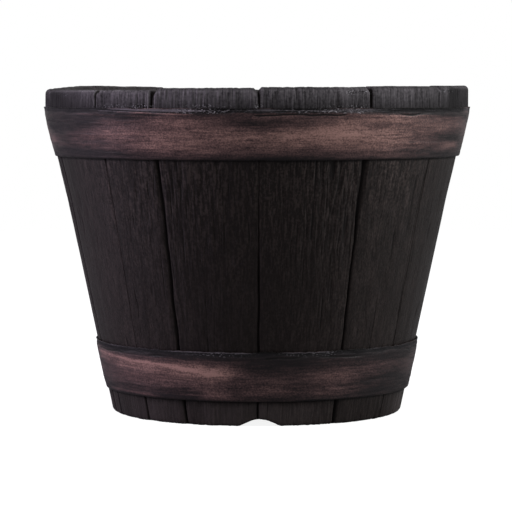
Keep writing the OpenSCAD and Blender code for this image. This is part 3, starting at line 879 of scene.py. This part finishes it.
def makeHoop(node, name, own, material):
    # the section carried round the wall's cone, a full turn and a lap. Over the joggle its outer end climbs
    # by the thickness, which lays it on the inner end. The face is moved out by its relief.
    low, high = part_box(node)[0][2] / mm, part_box(node)[1][2] / mm
    width = high - low
    seed = own["seed"]
    middleRadius = wallRadius(low + width / 2) + hoop["thickness"]
    lap = math.degrees(hoop["lapLength"] / middleRadius)
    start = own["lapAzimuth"] - lap / 2
    columns = int(math.radians(360 + lap) * middleRadius / hoop["columnPitch"])
    turn = np.linspace(start + hoop["relief"], start + 360 + lap, columns)
    climb = np.clip((turn - start - 360 + hoop["joggle"]) / hoop["joggle"], 0, 1)
    climbed = (hoop["thickness"] + hoop["lapGap"]) * climb[:, None]
    slope = (wallRadius(high) - wallRadius(low)) / width
    offset, h, face = hoopSection(width)
    length = math.radians(1) * middleRadius * turn
    x, azimuth = length[:, None], turn[:, None]

    crumble, drag, dents = [noiseSum(hoop[kind], x, h, seed) for kind in ("crumble", "drag", "dents")]
    bevelLine, ragged, edgeWaves, lipZones, lipWander = [
        noiseSum(hoop[kind], x, 0 * x, seed)
        for kind in ("bevelLine", "ragged", "edgeWaves", "lipZones", "lipLine")]
    bevel = smoothStep(width - hoop["bevelHeight"] - 1.5, width - 0.5, h + bevelLine)
    lipLine = width - hoop["bevelHeight"] - 0.8 + lipWander
    lip = bell(h - lipLine, 0.8) * smoothStep(0.0, 0.5, lipZones)
    relief = face * (drag + dents - hoop["bevelDepth"] * bevel + 0.28 * bevel * crumble
                     - hoop["lipDepth"] * lip + hoop["crown"] * (1 - (2 * h / width - 1) ** 2)
                     - hoop["inset"])
    lost = hoop["raggedEdge"] * np.maximum(0.3 + ragged, 0)
    z = low + h - lost * smoothStep(width - 2.5, width, h)
    z = z + hoop["lowerEdge"] * np.maximum(edgeWaves, 0) * (1 - smoothStep(0, 3, h))
    out = hoop["gap"] + (climbed + offset + relief) * math.sqrt(1 + slope * slope)
    points = turned(wallRadius(low) + slope * (z - low) + out, azimuth, z)

    # the rubbed copper, with painted highlights along the edges and painted shade on the upper hoop's left
    # flank
    rubbedAndShading = rubbedAndShadingField(azimuth, h / width, own["patches"], own["strokes"])
    # painted shade along the upper edge where the paint is not rubbed
    rim = 0.8 * bell(h - width, 1.3) * (1 - np.clip(rubbedAndShading, 0, 1))
    cluster = around(azimuth, hoop["crumbPlaces"]) * own["crumbs"]
    fields = {
        "rubbedAndShading": rubbedAndShading,
        "bevel": bevel * face,
        "crumb": smoothStep(0.1, 0.5, bevel) * cluster * face,
        # hollow: painted shade in the lip's groove, along the upper edge and on the lower edge
        "hollow": np.clip(lip * face + rim + 0.5 * (1 - smoothStep(0.2, 3, h)), 0, 1),
    }
    obj = gridMesh(name, points, length, loopDistance(offset, h), fields)
    finish(obj, node, material)


hoopFinish = {
    "black": rgb(24, 20, 22),
    # brown and copper also show the painted highlights along the lower edge
    "brown": rgb(72, 55, 55),
    "copper": rgb(152, 119, 112),
    "bevel": rgb(18, 16, 18),
    # scratch also shows the painted highlights along the upper edge, on the bare bevel
    "scratch": rgb(88, 83, 88),
    # deep: dark crumbs, and painted shade in hollows and where the rubbed field falls below zero
    "deep": rgb(9, 8, 8),
    "speck": rgb(158, 154, 160),
    "roughness": 0.44,
    "specular": 0.14,
    "metallic": 0.3,
    "bump": 0.0003,
    # noises: scales along X, Y and Z, detail, offset
    "streaks": ((48, 48, 560), 3, (0, 0, 0)),
    "wide": ((13, 13, 120), 3, (5, 2, 0)),
    "grit": ((620, 620, 820), 2, (2, 8, 0)),
    "mottle": ((110, 110, 230), 2, (8, 3, 0)),
    "scratches": ((22, 22, 900), 2, (1, 1, 0)),
    "crumbs": ((480, 480, 900), 2, (6, 5, 0)),
    # from where to where the rubbed field, with its painted edge highlights, turns the paint brown, copper
    # and metallic, where it falls below zero it turns deep black with painted shade and rough, and a hollow
    # turns it dark with painted shade
    "brownRange": (-0.05, 0.6),
    "copperRange": (0.35, 1.50),
    "metalRange": (0.3, 1.1),
    "deepRange": (-0.1, -0.6),
    "roughRange": (0.2, -0.5),
    "hollowRange": (0.1, 0.9),
}


def hoopMaterial(name, shades):
    # near-black paint with copper dragged along it: the rubbed field, which holds painted highlights
    # along the edges and painted shade on the lamp-lit left flank, broken up by long streaks and fine grit,
    # a bare scratched bevel, and crumbs, with hollows and the lower edge darker as painted shade
    material, tree = newMaterial(name)
    place = tree.objectPlace()
    streaks, wide, grit, mottle, scratchNoise = [
        tree.noise(place, *shades[kind]) for kind in ("streaks", "wide", "grit", "mottle", "scratches")]
    bevel, rubbedAndShading = tree.attribute("bevel"), tree.attribute("rubbedAndShading")
    amount = rubbedAndShading * (0.65 + 0.8 * streaks) + 0.5 * (streaks - 0.5) + 0.6 * (wide - 0.5)
    amount = amount + (0.5 + 1.3 * rubbedAndShading) * (grit - 0.5) + (0.2 + 0.3 * rubbedAndShading) * (mottle - 0.5)
    paint = tree.blend(tree.step(amount, *shades["brownRange"]), shades["black"], shades["brown"])
    paint = tree.blend(tree.step(amount, *shades["copperRange"]), paint, shades["copper"])
    bare = tree.step(bevel + 0.5 * (streaks - 0.5), 0.2, 0.6)
    scratches = tree.step(scratchNoise, 0.52, 0.72)
    # the bevel shows the scratch colour at scratches and at the field's painted edge highlights
    shine = tree.step(rubbedAndShading + scratches * 0.5 + (grit - 0.5) * 0.8, 0.25, 1.1)
    paint = tree.blend(bare, paint, tree.blend(shine, shades["bevel"], shades["scratch"]))
    # painted shade: deep black where the rubbed field falls below zero
    paint = tree.blend(tree.step(amount, *shades["deepRange"]), paint, shades["deep"])
    # painted shade in the hollows: the lip's groove, the upper edge and the lower edge
    paint = crumbled(tree, place, shades, paint, tree.attribute("hollow"))[0]
    rough = 0.5 * tree.step(amount, *shades["roughRange"])
    tree.surface({
        "Base Color": paint,
        "Roughness": shades["roughness"] + rough + 0.25 * (grit - 0.5) + 0.25 * bare,
        "Metallic": tree.step(amount, *shades["metalRange"]) * (1 - bare) * shades["metallic"],
        "Specular IOR Level": shades["specular"],
        "Normal": tree.bump(streaks * 0.6 + grit * 0.5, shades["bump"]),
    })
    return material


hoopPaint = hoopMaterial("copperRubbedIron", hoopFinish)
makeHoop("upper_hoop", "upperHoop", upperHoop, hoopPaint)
makeHoop("lower_hoop", "lowerHoop", lowerHoop, hoopPaint)
print("hoops made")


# Head boards, dowels and rivets keep their own solids and get their finish here
boardFinish = {
    "base": (34, 26, 24), "light": (62, 50, 46), "deep": (12, 9, 9),
    "scale": (16, 520, 520), "roughness": 0.58, "metallic": 0.0,
    "tones": [0.84, 1.08, 0.9, 1.14, 0.88],  # one for each board
    "nextPlank": (3.1, 7.7, 0),  # how far the noise moves from board to board
}
dowelFinish = {
    "base": (176, 140, 100), "light": (198, 164, 122), "deep": (120, 90, 60),
    "scale": (900, 30, 900), "roughness": 0.6, "metallic": 0.0,
}
rivetFinish = {
    "base": (52, 40, 39), "light": (132, 92, 84), "deep": (18, 14, 14),
    "scale": (420, 420, 420), "roughness": 0.45, "metallic": 0.3,
}
seamWidths = (0.0018, 0.0004)  # where the dark of a side starts and where it is full, in metres from the side


def solidMaterial(name, shades, tone=1.0, offset=(0, 0, 0), sides=(-9, 9)):
    # two tones mixed by a noise on object coordinates that is stretched along the grain, with darker pores,
    # and darker yet along the two sides, which are given as places along Y in metres
    material, tree = newMaterial(name)
    base, light = [rgb(*(channel * tone for channel in shades[shade])) for shade in ("base", "light")]
    scale = shades["scale"]
    place = tree.objectPlace()
    fibres = tree.noise(place, scale, 4, offset)
    patches = tree.noise(place, (14, 40, 40), 3, offset)
    pores = tree.step(tree.noise(place, (scale[0] * 3, scale[1] * 2, scale[2] * 2), 2, offset), 0.60, 0.72)
    colour = tree.blend(tree.step(fibres, 0.38, 0.66) * (0.4 + 0.6 * patches), base, light)
    y = tree.node("ShaderNodeSeparateXYZ", {}, [place], "Y")
    seam = (tree.step(y, *(sides[0] + reach for reach in seamWidths))
            + tree.step(y, *(sides[1] - reach for reach in seamWidths)))
    colour = tree.blend(pores * 0.6 + seam, colour, rgb(*shades["deep"]))
    tree.surface({
        "Base Color": colour,
        "Roughness": shades["roughness"] + 0.2 * (fibres - 0.5),
        "Metallic": shades["metallic"],
        "Specular IOR Level": 0.3,
        "Normal": tree.bump(fibres - 0.6 * pores, 0.0005),
    })
    return material


def dress(node, material):
    # every material slot of a CAD node takes the material
    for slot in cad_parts[node].material_slots:
        slot.material = material


for board, tone in enumerate(boardFinish["tones"], start=1):
    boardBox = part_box("head_board_%d" % board)
    offset = tuple(move * board for move in boardFinish["nextPlank"])
    boardWood = solidMaterial("headBoardWood%d" % board, boardFinish, tone, offset,
                              (boardBox[0][1], boardBox[1][1]))
    dress("head_board_%d" % board, boardWood)
dress("head_dowels", solidMaterial("dowelWood", dowelFinish))
rivetPaint = solidMaterial("rivetPaint", rivetFinish)
dress("upper_hoop_rivets", rivetPaint)
dress("lower_hoop_rivets", rivetPaint)
print("head and rivets finished")

# Light: two softboxes at the sides, one above in front, and a plain grey world. Lengths here are in metres.
studio = {
    "floorSize": 6.0,
    "floorGrey": 0.30,
    "floorGlow": 0.88,
    "worldLight": 0.34,
    "worldGlossy": 0.60,
    "lamps": [
        # name, place, aim, width, height, power, colour
        ("leftBox", (-1.9, -0.15, 0.75), (0, 0, 0.15), 1.2, 1.6, 38.5, (0.90, 0.78, 1.0)),
        ("rightBox", (1.9, -0.2, 0.85), (0, 0, 0.15), 1.2, 1.6, 33.0, (1.0, 1.0, 1.0)),
        ("topBox", (0.0, -1.1, 2.3), (0, 0, 0.1), 1.8, 1.2, 28.0, (1.0, 1.0, 1.0)),
    ],
}


def makeLamp(name, place, aim, width, height, power, colour):
    # the lamp shines along its own -Z, which is turned from straight down towards the aim
    data = bpy.data.lights.new(name, "AREA")
    data.shape, data.size, data.size_y = "RECTANGLE", width, height
    data.energy, data.color = power, colour
    obj = addObject(name, data)
    obj.location = place
    dx, dy, dz = np.array(aim) - np.array(place)
    obj.rotation_euler = (math.atan2(math.hypot(dx, dy), -dz), 0, math.atan2(dy, dx) - math.pi / 2)


def makeWorld():
    # white for the camera and through glass, a plain grey as light
    world = bpy.data.worlds.new("studioWorld")
    bpy.context.scene.world = world
    world.use_nodes = True
    tree = Shader(world.node_tree)
    cameraRay, glossyRay, throughRay = [tree.node("ShaderNodeLightPath", {}, [], "Is %s Ray" % kind)
                                        for kind in ("Camera", "Glossy", "Transmission")]
    seen = cameraRay + throughRay
    light = studio["worldLight"] + (studio["worldGlossy"] - studio["worldLight"]) * glossyRay
    white = (1.0, 1.0, 1.0, 1.0)
    shine = tree.node("ShaderNodeBackground", {}, {"Color": white, "Strength": light + (1 - light) * seen})
    tree.output("ShaderNodeOutputWorld", shine)


def makeFloor():
    # a plane that the camera sees as nearly white, and darker only where the object shades it
    half = studio["floorSize"] / 2
    mesh = bpy.data.meshes.new("floor")
    corners = [(-half, -half, 0), (half, -half, 0), (half, half, 0), (-half, half, 0)]
    mesh.from_pydata(corners, [], [(0, 1, 2, 3)])
    obj = addObject("floor", mesh)
    material, tree = newMaterial("paleFloor")
    cameraRay = tree.node("ShaderNodeLightPath", {}, [], "Is Camera Ray")
    grey = studio["floorGrey"]
    paper = tree.node("ShaderNodeBsdfDiffuse", {}, {"Color": (grey, grey, grey, 1)})
    glow = tree.node("ShaderNodeEmission", {}, {"Strength": cameraRay * studio["floorGlow"]})
    tree.output("ShaderNodeOutputMaterial", tree.node("ShaderNodeAddShader", {}, [paper, glow]))
    mesh.materials.append(material)


for lamp in studio["lamps"]:
    makeLamp(*lamp)
makeWorld()
makeFloor()
bpy.context.scene.view_settings.view_transform = "Standard"
print("light set")
